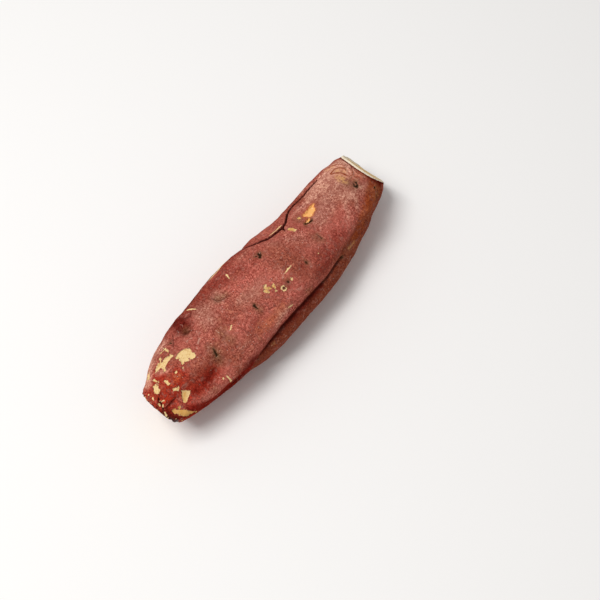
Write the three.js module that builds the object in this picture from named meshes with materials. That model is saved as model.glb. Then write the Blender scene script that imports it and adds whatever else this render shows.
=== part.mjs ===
// A baked sweet potato: one solid root, trimmed at both ends, softened by the oven and lying on its side.
// Millimetres, +Z up. X runs from the root end to the stem end, Y across, and Z = 0 is the flat spot it rests on.
import * as THREE from "three";

// Driving dimensions.
const LENGTH = 179; // from one trimmed end to the other, along the middle
const GIRTH_SCALE = 1; // fatter above 1, thinner below
const SQUARENESS = 2.3; // exponent of the section's outline: 2 is an ellipse, more is boxier
const LEAN_REACH = 26; // how far back from a cut the rings still lean and turn with it

// The two knife cuts. Lean is how many degrees a cut stands off upright, its top edge towards the root end.
// Turn is how many degrees it stands off square across, positive where its +Y edge is towards the stem end.
// Dish is how far the flesh has shrunk back in the middle of the cut face.
const rootCut = { lean: 24, turn: 8, dish: 1.4 };
const stemCut = { lean: 30.5, turn: 3, dish: 0.3 };

// Facets.
const AROUND = 68;
const RINGS = 60;
const CUT_RINGS = 5;

// The body at its stations. At each share of the length: half the width, height as a share of width,
// how far the middle is bowed towards +Y, and how far the underside stands above the table.
// A negative clearance is skin that the root's own weight presses flat.
const stations = [
  { share: 0.0, halfWidth: 11.8, flatness: 0.96, bow: 0.4, clearance: 8.8 },
  { share: 0.03, halfWidth: 14.2, flatness: 0.95, bow: 1.0, clearance: 5.8 },
  { share: 0.08, halfWidth: 17.9, flatness: 0.93, bow: 1.8, clearance: 2.4 },
  { share: 0.16, halfWidth: 21.6, flatness: 0.91, bow: 2.3, clearance: -0.6 },
  { share: 0.3, halfWidth: 24.0, flatness: 0.9, bow: 0.6, clearance: -1.9 },
  { share: 0.44, halfWidth: 25.2, flatness: 0.89, bow: -1.4, clearance: -2.0 },
  { share: 0.58, halfWidth: 24.0, flatness: 0.89, bow: -3.2, clearance: -1.6 },
  { share: 0.7, halfWidth: 21.6, flatness: 0.89, bow: -4.2, clearance: 0.4 },
  { share: 0.84, halfWidth: 19.8, flatness: 0.89, bow: -3.4, clearance: 3.2 },
  { share: 0.93, halfWidth: 17.2, flatness: 0.91, bow: -1.4, clearance: 5.8 },
  { share: 0.98, halfWidth: 15.3, flatness: 0.94, bow: -0.6, clearance: 7.8 },
  { share: 1.0, halfWidth: 13.0, flatness: 0.96, bow: -0.4, clearance: 9.8 },
];

// Folds and hollows where the flesh shrank under its skin. A path's points are [share of the length, degrees
// around]. The degrees run from the +Y side (0) over the top (90) to the -Y side (180) and the underside (270).
// Reach is half the fold's breadth and height its rise from the skin, both in millimetres.
const folds = [
  // The crest along the -Y side, the crease under it, and the flank that swells out below.
  {
    path: [[0.25, 168], [0.34, 152], [0.45, 142], [0.6, 141], [0.75, 144], [0.86, 150]],
    reach: 5.0,
    height: 1.5,
  },
  {
    path: [[0.27, 180], [0.34, 164], [0.45, 154], [0.6, 153], [0.75, 156], [0.86, 162]],
    reach: 3.8,
    height: -2.0,
  },
  { path: [[0.33, 198], [0.45, 182], [0.6, 180], [0.74, 184]], reach: 8.0, height: 2.0 },
  // The valley beside the root end, and the lobe outside it.
  { path: [[0.04, 128], [0.09, 128], [0.14, 130], [0.2, 134]], reach: 4.6, height: -2.0 },
  { path: [[0.05, 154], [0.12, 156], [0.22, 158]], reach: 5.5, height: 1.4 },
  // The sagging top.
  { path: [[0.22, 96], [0.45, 98], [0.7, 92]], reach: 12, height: -1.0 },
  // The shoulder along the +Y side, and the flatter skin below it.
  { path: [[0.1, 52], [0.3, 46], [0.5, 42]], reach: 6.0, height: 1.2 },
  { path: [[0.14, 12], [0.32, 8], [0.5, 4]], reach: 7.0, height: -1.3 },
  // The flap of skin over the shoulder, the crack on its upper side that runs on along the neck,
  // and the strip of skin below the crack.
  { path: [[0.55, 30], [0.61, 36], [0.67, 36]], reach: 4.2, height: 1.2 },
  {
    path: [[0.52, 30], [0.58, 51], [0.65, 53], [0.69, 44], [0.74, 37], [0.86, 36]],
    reach: 3.0,
    height: -1.2,
  },
  { path: [[0.71, 26], [0.76, 20], [0.83, 20], [0.9, 24]], reach: 4.5, height: 1.3 },
  // Hollows on the side that lies away and on the underside.
  { path: [[0.2, 330], [0.38, 322], [0.5, 328]], reach: 6.0, height: -2.0 },
  { path: [[0.6, 345], [0.74, 338], [0.86, 344]], reach: 5.0, height: -1.6 },
  { path: [[0.28, 232], [0.4, 226], [0.5, 228]], reach: 6.5, height: -1.6 },
  { path: [[0.76, 286], [0.88, 262]], reach: 5.5, height: -1.5 },
];
const SKIN_RADIUS = 23; // turns degrees around into millimetres across a fold
const FOLD_STEPS = 80; // points that a fold's path is measured from

// A smooth line through one of the stations' values.
function through(key) {
  const shares = stations.map((station) => station.share);
  const values = stations.map((station) => station[key]);
  const line = new THREE.CubicInterpolant(shares, values, 1);
  return (share) => line.evaluate(share)[0];
}

const halfWidth = through("halfWidth");
const flatness = through("flatness");
const bow = through("bow");
const clearance = through("clearance");

// A fold's path as points on the unrolled skin, in millimetres: x along, y around.
function unrolled({ path, reach, height }) {
  const points = path.map(
    ([share, degrees]) =>
      new THREE.Vector2(share * LENGTH, THREE.MathUtils.degToRad(degrees) * SKIN_RADIUS),
  );
  const line = new THREE.SplineCurve(points).getPoints(FOLD_STEPS);
  return { line, reach, height };
}

const strokes = folds.map(unrolled);
const ONCE_AROUND = 2 * Math.PI * SKIN_RADIUS;

// How far all the folds together lift the skin at a share of the length and an angle in radians.
function relief(share, angle) {
  const along = share * LENGTH;
  const around = THREE.MathUtils.euclideanModulo(angle * SKIN_RADIUS, ONCE_AROUND);
  let lift = 0;
  for (const { line, reach, height } of strokes) {
    let nearest = Infinity;
    for (const point of line) {
      const apart = Math.abs(point.y - around);
      const across = Math.min(apart, ONCE_AROUND - apart);
      nearest = Math.min(nearest, Math.hypot(point.x - along, across));
    }
    lift += height * Math.exp(-((nearest / reach) ** 2));
  }
  return lift;
}

// The lathe's profile, from the middle of the root-end cut over the body to the middle of the stem-end cut.
// Rings crowd towards the ends, where the body closes in.
function profile() {
  const points = [];
  for (let ring = 0; ring < CUT_RINGS; ring++) {
    points.push(new THREE.Vector2((halfWidth(0) * ring) / CUT_RINGS, 0));
  }
  for (let ring = 0; ring <= RINGS; ring++) {
    const even = ring / RINGS;
    const crowded = (1 - Math.cos(Math.PI * even)) / 2;
    const share = THREE.MathUtils.lerp(even, crowded, 0.45);
    points.push(new THREE.Vector2(halfWidth(share), share));
  }
  for (let ring = CUT_RINGS - 1; ring >= 0; ring--) {
    points.push(new THREE.Vector2((halfWidth(1) * ring) / CUT_RINGS, 1));
  }
  return points;
}

function slope(degrees) {
  return Math.tan(THREE.MathUtils.degToRad(degrees));
}

// Moves a point of the lathed body to its place on the root. The lathe gives its share of the length,
// its angle around, and its radius, which is less than the half width only on a cut face.
function shaped(share, angle, radius) {
  const width = halfWidth(share) * GIRTH_SCALE;
  const height = width * flatness(share);
  const outward = radius / halfWidth(share);
  const [cos, sin] = [Math.cos(angle), Math.sin(angle)];
  const corner = (Math.abs(cos) ** SQUARENESS + Math.abs(sin) ** SQUARENESS) ** (-1 / SQUARENESS);
  const lift = relief(share, angle);
  const y = outward * (width * corner + lift) * cos;
  const up = outward * (height * corner + lift) * sin;

  const along = share * LENGTH;
  const fromEnd = Math.min(along, LENGTH - along);
  const leaning = 1 - THREE.MathUtils.smoothstep(fromEnd, 0, LEAN_REACH);
  const cut = share < 0.5 ? rootCut : stemCut;
  const lean = leaning * (y * slope(cut.turn) - up * slope(cut.lean));
  const inward = Math.sign(0.5 - share) * cut.dish * (1 - outward ** 2);
  const z = clearance(share) + height + up;
  return new THREE.Vector3(along + lean + inward, bow(share) + y, Math.max(z, 0));
}

function potatoGeometry() {
  const geometry = new THREE.LatheGeometry(profile(), AROUND);
  const position = geometry.getAttribute("position");
  const point = new THREE.Vector3();
  for (let i = 0; i < position.count; i++) {
    point.fromBufferAttribute(position, i); // the lathe turns about its own Y axis
    const angle = Math.atan2(point.x, point.z);
    const radius = Math.hypot(point.x, point.z);
    const placed = shaped(point.y, angle, radius);
    position.setXYZ(i, placed.x, placed.y, placed.z);
  }
  geometry.computeBoundingBox();
  const middle = geometry.boundingBox.getCenter(new THREE.Vector3());
  geometry.translate(-middle.x, -middle.y, 0); // the origin is under the middle, on the table
  geometry.computeVertexNormals();
  return geometry;
}

const skin = new THREE.MeshStandardMaterial({ color: 0x9c5a4e, roughness: 0.65, metalness: 0 });
const potato = new THREE.Mesh(potatoGeometry(), skin);
potato.name = "sweet_potato";

const part = new THREE.Group();
part.add(potato);

export default part;
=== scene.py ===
"""The looks of a baked sweet potato: its skin, its cut ends, and the floor, lights and camera around it.

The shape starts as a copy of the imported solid. It is subdivided, its cracks, creases, eyes and peeled
patches are pressed into it, and the same marks are kept as attributes that the skin material colours.
"""

from math import cos, radians, sin

import bpy
import numpy as np
from bpy.props import FloatProperty, FloatVectorProperty, IntProperty, PointerProperty
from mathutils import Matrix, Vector, noise


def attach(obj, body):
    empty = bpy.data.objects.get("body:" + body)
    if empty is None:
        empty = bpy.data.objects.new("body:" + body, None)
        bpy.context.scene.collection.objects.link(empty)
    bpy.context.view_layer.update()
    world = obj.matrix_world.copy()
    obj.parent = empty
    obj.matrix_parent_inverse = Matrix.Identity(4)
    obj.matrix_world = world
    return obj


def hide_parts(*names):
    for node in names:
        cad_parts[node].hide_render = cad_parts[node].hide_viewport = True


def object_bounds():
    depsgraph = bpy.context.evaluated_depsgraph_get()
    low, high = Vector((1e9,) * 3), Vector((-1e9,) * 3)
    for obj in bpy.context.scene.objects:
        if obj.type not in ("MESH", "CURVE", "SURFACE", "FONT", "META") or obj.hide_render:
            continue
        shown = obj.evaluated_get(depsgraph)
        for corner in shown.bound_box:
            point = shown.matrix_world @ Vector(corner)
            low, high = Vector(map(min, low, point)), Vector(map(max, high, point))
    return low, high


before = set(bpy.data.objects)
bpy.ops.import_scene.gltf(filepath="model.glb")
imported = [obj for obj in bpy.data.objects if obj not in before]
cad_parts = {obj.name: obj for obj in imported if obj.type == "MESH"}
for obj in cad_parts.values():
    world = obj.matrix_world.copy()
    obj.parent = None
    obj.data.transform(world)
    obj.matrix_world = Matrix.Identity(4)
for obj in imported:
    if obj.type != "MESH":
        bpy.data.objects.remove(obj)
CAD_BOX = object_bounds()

bl_info = {
    "name": "Baked Sweet Potato",
    "version": (1, 0, 0),
    "blender": (4, 5, 0),
    "location": "3D View > Sidebar > Sweet Potato",
    "description": "Builds a baked sweet potato and a plain studio around it",
    "category": "Object",
}

MM = 0.001  # marks and patterns are given in millimetres

# ----------------------------------------
# Marks on the skin. Each is a stroke, a list of (millimetres along the root, degrees around it, half width in
# millimetres). The degrees are 0 at the +Y side, 90 on top, 180 at the -Y side and 270 underneath.

PEELED = [
    # the large patch on top of the root end, with a bite out of its lower side
    [(-69, 79, 0.8), (-66.2, 82, 2.0), (-64.2, 88, 2.6), (-64, 95, 2.0)],
    [(-68, 88, 1.6), (-70, 92, 0.5)],
    [(-67, 93, 1.4)],
    # the forked one beside it
    [(-81, 55, 0.5), (-77.5, 60, 1.2), (-75.5, 65, 1.7), (-72.5, 67, 1.1), (-70, 69, 0.9)],
    [(-74, 57, 0.5), (-76, 59, 0.6)],
    [(-76.5, 68, 0.8), (-78, 72, 0.5)],
    [(-71.5, 52, 0.4), (-68.5, 54, 0.5), (-69, 62, 0.4)],
    # small ones nearer the cut
    [(-75.5, 91, 0.8)],
    [(-71.5, 97, 0.4)],
    [(-82, 82, 0.8), (-82.5, 91, 0.7)],
    [(-84.5, 57, 0.5), (-84.5, 70, 0.5)],
    [(-87, 67, 1.4), (-88.5, 75, 1.4)],
    [(-83, 107, 0.6), (-81.5, 111, 1.3)],
    [(-80.5, 122, 0.4), (-80.5, 131, 1.8), (-83, 140, 1.1)],
    [(-78.5, 133, 0.8), (-80.5, 134, 1.6)],
    [(-87.5, 144, 0.7)],
    [(-82.5, 34, 1.2), (-84.5, 39, 1.2)],
    [(-87, 48, 0.5)],
    # the long one beside the cut
    [(-90.5, 144, 1.0), (-88.4, 154, 1.6), (-85.8, 163, 1.6), (-83, 175, 1.0), (-80.5, 188, 0.3)],
    # the flaky one in the middle
    [(-11.6, 104, 1.3)],
    [(-13.2, 108, 1.0)],
    [(-12.6, 112, 0.8)],
    [(-10.6, 109, 0.9)],
    [(-8.6, 110, 0.8)],
    [(-8.2, 114, 0.9)],
    [(-7, 108, 0.4)],
    [(-9.6, 118, 0.4)],
    [(1, 122, 0.7)],
    # beside the neck
    [(34.5, 63, 0.8)],
    [(25, 65, 0.7), (26.3, 71, 1.2)],
    # on the far side and underneath
    [(-58, 318, 1.4), (-54, 322, 2.1)],
    [(-49, 330, 0.8)],
    [(12, 305, 1.0), (16, 309, 1.6), (19, 306, 0.9)],
    [(58, 330, 1.3), (60, 336, 0.9)],
    [(-75, 245, 1.9), (-72, 252, 1.4)],
    [(38, 222, 1.2)],
]

# A ring of peeled skin around an eye: their place, and in millimetres the eye's half width, and the ring's
# middle radius and half width.
RING = {"place": (-5.6, 123), "eye": 0.5, "radius": 1.3, "half_width": 0.3}

# Where the skin has torn away deeper, down to moist flesh.
TORN = [
    [(45.2, 66, 0.8), (42.5, 69, 2.0), (39.5, 71, 2.0)],
    [(37.2, 66, 0.9), (39, 69, 1.5)],
    [(36.5, 76, 0.7), (34.5, 76, 0.5)],
]

# Small pale marks: scratches, frayed edges and crumbs, and painted glints.
SCRATCHES = [
    [(-59.6, 154, 0.3), (-59.2, 162, 0.5), (-58.5, 173, 0.6)],
    [(-61.8, 153, 0.55)],
    [(-44.5, 43, 0.35), (-43.2, 48, 0.4), (-42, 53, 0.25)],
    [(9.5, 109, 0.1), (4, 109, 0.4), (1, 110, 0.2)],
    [(-11.5, 144, 0.4), (-8.5, 147, 0.35)],
    [(-17.5, 51, 0.45), (-18.5, 57, 0.3)],
    [(-39, 108, 0.35), (-41, 112, 0.35)],
    [(23, 125, 0.4)],
    # the frayed edge of the flap, and of the skin along the shoulder
    [(16.5, 48.5, 0.3), (20.5, 49.5, 0.4), (25, 49, 0.5)],
    [(-8, 30, 0.3), (-17, 34, 0.45), (-24, 33, 0.35)],
    # glints and crumbs beside the root-end cut
    [(-92, 55, 0.4)],
    [(-92.3, 71, 0.3), (-93, 77, 0.2)],
    [(-91.2, 99, 0.4), (-90.2, 103, 0.3)],
    [(-92.2, 109, 0.4), (-93, 113, 0.3)],
    [(-93.5, 88, 0.25)],
    [(-93, 97, 0.6), (-93.4, 103, 0.4)],
    [(-91.6, 92, 0.3)],
    [(-94.3, 128, 0.4), (-95, 137, 0.5)],
    [(-95.2, 146, 0.35)],
    [(-92.5, 165, 0.35)],
    [(-89, 200, 0.4)],
    # on the far side
    [(-30, 350, 0.3), (-24, 352, 0.4)],
    [(30, 318, 0.35), (35, 322, 0.3)],
]

# Fainter pale marks, where only the outermost skin is scuffed.
SCUFFS = [
    [(-59.5, 75, 0.3), (-57.5, 75, 0.3), (-56, 77, 0.25)],
    [(-57, 90, 0.3), (-55, 87, 0.4), (-54, 86, 0.25)],
    [(-58.5, 91, 0.2), (-59.5, 95, 0.25)],
    [(-51.5, 148, 0.4)],
    [(-35.5, 82, 0.35)],
    [(-25.6, 83, 0.25), (-26.6, 94, 0.25)],
    [(-46, 97, 0.2), (-46.5, 105, 0.25)],
    [(7, 79, 0.2), (7, 90, 0.25)],
    [(1, 109, 0.3), (-2, 112, 0.25)],
    [(65, 102, 0.4)],
    [(63, 83, 0.35)],
    [(3.5, 60, 0.3)],
    [(-68, 108, 0.3)],
    [(-52, 74, 0.25), (-53, 78, 0.2)],
]

EYES = [
    [(-54.4, 113, 0.1), (-55, 118, 0.45), (-55.6, 124, 0.4)],
    [(-64.5, 57, 0.4)],
    [(-1.2, 121, 0.6)],
    [(2.8, 61, 1.1), (2.2, 64, 0.9)],
    [(1.2, 66, 0.8)],
    [(0.6, 61, 0.5)],
    [(-23.3, 111, 0.8), (-23.2, 117, 0.25)],
    [(14.6, 118, 0.2), (14.2, 123, 0.3)],
    [(71.7, 107, 0.45), (71.4, 112, 0.4), (69.9, 114, 0.5), (69.1, 110, 0.45), (70, 106, 0.3)],
    [(78, 146, 0.45)],
    [(32.3, 104, 0.1), (31.8, 113, 0.3)],
    [(34, 161, 0.6)],
    [(33.3, 77, 0.3), (35.2, 79, 0.5), (37.5, 81, 0.4)],
    # on the far side and underneath
    [(-40, 340, 0.6)],
    [(24, 345, 0.7)],
    [(62, 300, 0.6)],
    [(-66, 285, 0.5)],
    [(8, 225, 0.6)],
    [(48, 250, 0.5)],
]

# The crack that frees the flap and runs on along the neck. The flap is on its +Y side.
CRACK = [
    (1.5, 34, 0.2), (6.5, 38, 0.35), (11, 45, 0.4), (14, 51, 0.4), (19, 52.5, 0.45),
    (24, 54, 0.5), (27.5, 51, 0.45), (31.5, 44, 0.4), (35, 36, 0.35), (40, 31, 0.35),
    (46, 30, 0.35), (52.5, 31, 0.35), (58, 32, 0.35), (63, 31, 0.25),
]
FLAP_RISE = {"along": (1, 8, 26, 36, 60, 66), "share": (0.2, 1.0, 1.0, 0.6, 0.5, 0.0)}
CRACK_BRANCHES = [
    [(24.5, 54, 0.4), (23.5, 61, 0.2)],
    [(-90.8, 84, 0.1), (-91.8, 92, 0.3), (-92.2, 101, 0.25), (-93.5, 118, 0.35)],
]

# Soft deep creases: the long one under the crest on the -Y side, one below the lobe at the root end, and two
# on the side that lies away.
LONG_CREASE = [
    (-45, 177, 0.4), (-39, 178, 0.5), (-32, 171, 0.6), (-26.5, 167, 0.7), (-20, 164, 0.8), (-9, 162, 0.7),
    (0, 161, 0.6), (9, 162, 0.6), (17.5, 162, 0.5), (26, 159, 0.45), (33, 160, 0.3),
]
CREASES = [
    LONG_CREASE,
    [(-43, 177, 0.6), (-47, 178, 0.8), (-51, 182, 0.8), (-56, 185, 0.6), (-61, 189, 0.5), (-66, 194, 0.4),
     (-72, 197, 0.2)],
    [(-57, 320, 0.2), (-40, 312, 0.5), (-20, 316, 0.3)],
    [(20, 335, 0.2), (40, 328, 0.5), (66, 332, 0.3)],
]

# Short shallow folds.
FOLDS = [
    [(-32.5, 58, 0.1), (-32.5, 67, 0.2), (-30, 70, 0.2), (-26.5, 75, 0.05)],
    [(-60, 51, 0.2), (-65, 63, 0.2)],
    [(-37, 121, 0.1), (-36, 131, 0.15)],
    [(-50, 47, 0.1), (-47, 53, 0.2), (-44, 50, 0.1)],
    [(-57, 64, 0.1), (-53, 68, 0.15), (-52, 74, 0.1)],
    [(-20, 128, 0.1), (-16, 131, 0.1)],
    [(6, 92, 0.1), (9, 99, 0.1), (8, 106, 0.05)],
]

# Broad swells and hollows, each with its reach in place of a half width.
SWELLS = [
    [(-86, 163, 3.5), (-72, 163, 3.5), (-56, 161, 3.5)],
    [(62, 150, 3), (80, 148, 3)],
]
HOLLOWS = [
    [(-76, 138, 3), (-66, 138, 3), (-58, 138, 3)],
    [(60, 163, 3), (78, 162, 3)],
]

# Fine curved wrinkles around the stem end.
ARCS = [
    [(67.3, 57, 0.5), (71.5, 56, 0.5), (73.6, 62, 0.5), (74.8, 71, 0.5), (73.9, 78, 0.3)],
    [(66.8, 58, 0.4), (69.1, 63, 0.5), (70.9, 72, 0.5), (71.5, 80, 0.5), (71.6, 87, 0.3)],
    [(71.1, 40, 0.4), (73.6, 45, 0.5), (76, 56, 0.4), (77, 68, 0.4)],
    [(76.6, 79, 0.4), (76.2, 88, 0.4), (73.6, 93, 0.4), (71.4, 90, 0.3)],
    [(77.8, 89, 0.4), (76.8, 98, 0.4), (77.3, 107, 0.4), (79, 116, 0.3)],
    [(73.5, 98, 0.3), (74, 106, 0.3)],
    [(73, 215, 0.5), (77, 240, 0.5), (76, 262, 0.4)],
    [(69, 300, 0.5), (74, 320, 0.5), (75, 342, 0.4)],
]

# Puckers that run in from the root-end cut.
PUCKERS = [
    [(-88.5, 84, 0.4), (-90.5, 92, 0.7), (-94, 103, 0.8)],
    [(-86, 124, 0.4), (-91, 127, 0.8)],
    [(-86, 180, 0.4), (-90, 176, 0.8)],
    [(-86, 44, 0.4), (-92, 40, 0.8)],
    [(-81, 232, 0.5), (-85, 228, 0.9)],
    [(-81, 300, 0.5), (-85, 304, 0.9)],
]

# Broad tints in the skin, and a golden one in the dried flesh under it. Several of the skin's tints are
# partly painted shade, and several partly painted highlights. Each has the millimetres over which it fades
# out, its strength, and its strokes. A half width below 0 keeps a stroke fainter than that strength.
TINTS = {
    # Dusty bloom, with painted sheen and light: along the +Y edge at the root end, on the lobe's crest and on
    # the neck.
    "bloom_and_sheen": (9, 0.8, [
        [(-41, 64, 3), (-44, 76, 1)],
        [(-31, 62, 1)],
        [(-26, 92, -1.5), (-18, 97, 0), (-10, 92, -2)],
        [(14, 70, -2), (11, 61, -2.5)],
        [(25, 108, -3)],
        [(2, 98, -3)],
        [(40, 88, 2), (54, 80, 3), (66, 88, 2)],
        [(24, 88, -1), (20, 78, -1.5)],
        [(72, 48, 2), (78, 62, 3), (81, 78, 1)],
        [(62, 115, -1), (69, 114, 0)],
        [(-79, 33, 2), (-68, 34, 1)],
        [(-76, 156, -3), (-68, 156, -3)],
        [(-10, 300, 7), (20, 290, 6)],
        [(-50, 280, 4)],
        [(60, 240, 5)],
    ]),
    # Pinker skin, with painted highlights along the crest above the long crease and on the lobe at the root
    # end.
    "rosy_and_highlight": (9, 0.9, [
        [(-22, 74, 2), (-8, 76, 1)],
        [(-40, 120, 2), (-20, 126, 2)],
        [(-46, 163, 2), (-30, 154, 3), (-10, 151, 3), (6, 152, 2)],
        [(-80, 153, 2), (-70, 154, 3), (-60, 152, 3)],
        [(26, 126, 2), (52, 122, 3)],
        [(-20, 20, 5), (30, 355, 5)],
    ]),
    "moist": (8, 1, [
        [(-92, 110, 5), (-84, 104, 4), (-77, 101, 3)],
        [(-88, 60, 4), (-80, 68, 3)],
        [(-80, 136, 2.5), (-70, 139, 2.5), (-63, 139, 1.5)],
        [(-90, 180, 3), (-82, 192, 2)],
        [(-62, 336, 1), (-36, 344, 0)],
        [(-84, 280, 6)],
    ]),
    # Darkest baked skin, much of it painted shade: above the long crease, in the valley at the root end,
    # along the lower edge of the -Y side, and along the +Y shoulder and edge.
    "maroon_and_shade": (6, 0.95, [
        [(-40, 176, 0.6), (-32, 169, 0.8), (-22, 164, 0.8), (-10, 163, 0.6), (12, 163, 0.4)],
        [(-76, 139, 0), (-69, 139, 0.6), (-62, 138, 0)],
        [(-60, 196, 1.5), (-53, 191, 2), (-47, 187, 1)],
        [(-50, 168, 0.5), (-46, 166, 0.8), (-41, 168, 0.4)],
        [(-53, 42, 2.2), (-53, 56, 2.2), (-56, 52, 0.8), (-55.5, 64, 0.8)],
        [(-46, 28, 1), (-30, 26, 1.6), (-10, 20, 1.4), (10, 12, 1)],
        [(82, 130, 0.3), (85, 160, 0.6)],
        [(-95, 128, 1.0), (-92, 170, 1.0)],
        [(-10, 330, 2), (30, 320, 2)],
    ]),
    # The syrup tint is painted shade: a dark red band along the lower edge of the lobe at the root end, where
    # the skin curves under.
    "syrup": (2.6, 0.95, [
        [(-84.5, 168, 4.4), (-81, 173, 4.6), (-77, 177, 4.6), (-72, 181, 4.8), (-66, 183, 5.0),
         (-61, 184, 4.4), (-57, 182, 3.4), (-52, 179, 3.0), (-46, 175, 2.4), (-41, 174, 1.2)],
    ]),
    # Darker baked skin in patches over the top, with painted shade along the +Y shoulder, beside the crest at
    # the neck, and under the flank.
    "dusky_and_shade": (9, 0.9, [
        [(-46, 45, 2), (-32, 46, 3), (-20, 46, 2), (-10, 34, 2), (4, 26, 1.5)],
        [(-60, 30, 1), (-70, 50, 0.5)],
        [(16, 142, 0.5), (27, 142, 0.8)],
        [(22, 131, 1), (30, 138, 1.5), (38, 128, 0), (42, 134, 0)],
        [(-43, 89, -2), (-38, 102, -2.5)],
        [(-34, 80, -4)],
        [(-9, 118, -1.5), (-2, 124, -1.5)],
        [(-34, 131, -2.5), (-28, 127, -2), (-21, 122, -2.5)],
        [(11, 123, -1)],
        [(-13, 58, 0), (-9, 59, -1)],
        [(-20, 65, -3)],
        [(-27, 52, 1), (-20, 53, 0.5)],
        [(-10, 70, -3), (-2, 66, -3)],
        [(12, 88, -4)],
        [(4, 138, -3.5)],
        [(-56, 140, -3)],
        [(-29, 56, -2.5), (-26, 64, -3)],
        [(-62, 61, -2)],
        [(-30, 205, 6), (20, 198, 6)],
        [(26, 14, 0.5), (40, 15, 1), (64, 12, 1)],
        [(-40, 204, 2), (-10, 192, 3), (20, 188, 3)],
    ]),
    "rust": (5, 1, [
        [(46, 161, 1), (56, 157, 2.5), (66, 152, 3.5), (76, 148, 4), (84, 146, 4)],
        [(84, 112, 1), (84, 130, 1.5)],
        [(-88, 104, 1), (-92, 80, 1)],
    ]),
    # Dry pale skin, with painted highlights along the crest and the ridge of the neck, and a painted sheen
    # along the +Y edge at the root end.
    "pale": (5, 0.9, [
        [(50, 54, 1), (60, 54, 3), (72, 50, 3.5), (79, 60, 3.5), (84, 70, 2)],
        [(-71, 45, 0), (-66, 48, 0)],
        [(-81, 62, -1), (-78, 72, -0.5), (-76, 78, -1.5)],
        [(-46, 140, -2), (-38, 142, -2.5)],
        [(-22, 151, -1), (-17, 144, 0.5), (-11, 146, -1)],
        [(-5, 46, -2), (2, 44, -2)],
        [(35, 50, -1.5), (46, 54, 0)],
        [(58, 100, -0.5), (62, 104, 0)],
        [(77, 76, 1), (74, 82, 0.8), (76, 88, 0.5)],
        [(65, 112, -2), (76, 126, -1.5)],
        [(50, 40, 0), (58, 38, 0.5), (66, 38, 0.5)],
        [(50, 24, -2), (58, 24, -2)],
        [(51, 128, -1.5), (57, 110, -0.5), (63, 112, -0.5), (62, 124, -1), (59, 135, -1.5)],
        [(62, 80, -1), (68, 72, 0)],
        [(-87, 42, 1), (-79, 30, 2), (-66, 22, 2), (-56, 20, 1)],
        [(34, 290, 3)],
    ]),
    # The brown sunken side under the crest, darkened with painted shade, and more painted shade underneath.
    "flank": (4, 1, [
        [(-42, 192, 2), (-28, 176, 3), (-9, 174, 4.5), (9, 174, 4.5), (25, 171, 4), (35, 166, 4),
         (46, 162, 4.5), (58, 158, 4.5), (68, 156, 4), (80, 156, 4)],
        [(-30, 205, 6), (20, 198, 7), (60, 185, 6), (80, 180, 4)],
    ]),
    "olive": (6, 0.45, [
        [(-45.5, 103, 0.2), (-46, 114, 0.3), (-45, 124, 0.2)],
        [(-55, 107, 0.3), (-56, 122, 0.8), (-56.5, 136, 0.3)],
        [(-55, 64, 0.5)],
        [(-23.5, 121, 0.2)],
        [(-33.5, 56, -1.4), (-31.5, 64, 0), (-28.5, 69, -0.8), (-25.5, 76, -1.8)],
        [(29.5, 103, 0.2), (29.6, 113, 0.3)],
        [(34.3, 64, 1.0)],
        [(67, 93, 0.3), (70, 101, 0.6), (68, 106, 0.2)],
        [(78, 164, 0.5)],
        [(-20, 240, 2)],
    ]),
    "amber": (3, 0.85, [
        [(71.2, 40, 0.5), (73.4, 45, 0.7)],
        [(67.5, 89, 0.4), (67.8, 80, 1.4), (68.3, 72, 1.2)],
        [(71.4, 60, 0.8), (73, 66, 1.4), (73.6, 73, 0.8)],
        [(41, 163, -0.5), (47, 167, -1)],
        [(60, 160, -1.4), (66, 158, -1.2)],
        [(79, 163, -0.6)],
        [(-28, 176, -0.5)],
        [(50, 262, 0)],
        [(-36, 300, 0)],
    ]),
    "golden": (3, 0.75, [
        [(-90.5, 144, 1.5), (-86, 160, 2.5), (-80.5, 184, 1)],
        [(-80.5, 131, 0), (-83, 138, 0)],
        [(-70, 56, -1), (-77, 58, -1)],
        [(-12, 108, 0.8), (-8.5, 112, 0)],
        [(25, 68, 0.8), (34.5, 63, 0.5)],
    ]),
    # Orange where flesh shows through, with a painted highlight along the crest, and painted light on the
    # neck's -Y side, where it turns away from the lamp.
    "orange_and_highlight": (6, 0.4, [
        [(-30, 141, 0.2), (-22, 141, 0.4), (-14, 139, 0.2)],
        [(-77, 100, -1), (-81, 99, -1)],
        [(74, 96, 0.5), (80, 108, 0.5)],
        [(58, 164, -0.5), (70, 163, 1), (80, 160, 0.5)],
    ]),
}

AROUND_RADIUS = 22  # turns degrees around the root into millimetres
STROKE_STEP = 2.5  # a stroke is laid on the skin in steps this long, in millimetres
SECTION_STEP = 4  # the root's middle is found at sections this many millimetres apart
NEIGHBOURS = 4  # a place on the skin is found from this many points around it
FINE_REACH = 0.4  # the mesh is made finer up to this many millimetres outside a mark
MERGE_DISTANCE = 0.01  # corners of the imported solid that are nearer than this, in millimetres, are one
QUAD_ANGLE = radians(60)  # how uneven two triangles may be and still become a quad
CUT_REACH = 16  # a cut's faces are within this many millimetres of an end of the root
CUT_LEAN = radians(40)  # and look along the root to within this angle
RIM_CREASE = 0.75  # how crisp the cuts' rims stay when the mesh is subdivided
FLOOR_FADE = (0.4, 1.2)  # how far from the object the floor turns to its plain colour, in metres


def linear(hex_colour):
    """An sRGB hex colour as linear red, green, blue and alpha."""
    parts = [int(hex_colour[i : i + 2], 16) / 255 for i in (1, 3, 5)]
    return (*[c / 12.92 if c <= 0.04045 else ((c + 0.055) / 1.055) ** 2.4 for c in parts], 1.0)


def length(name, description, default):
    return FloatProperty(
        name=name, description=description, default=default, min=0, unit="LENGTH", precision=5
    )


def colour(name, description, hex_colour):
    return FloatVectorProperty(
        name=name, description=description, default=linear(hex_colour), size=4, min=0, max=1, subtype="COLOR"
    )


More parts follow.
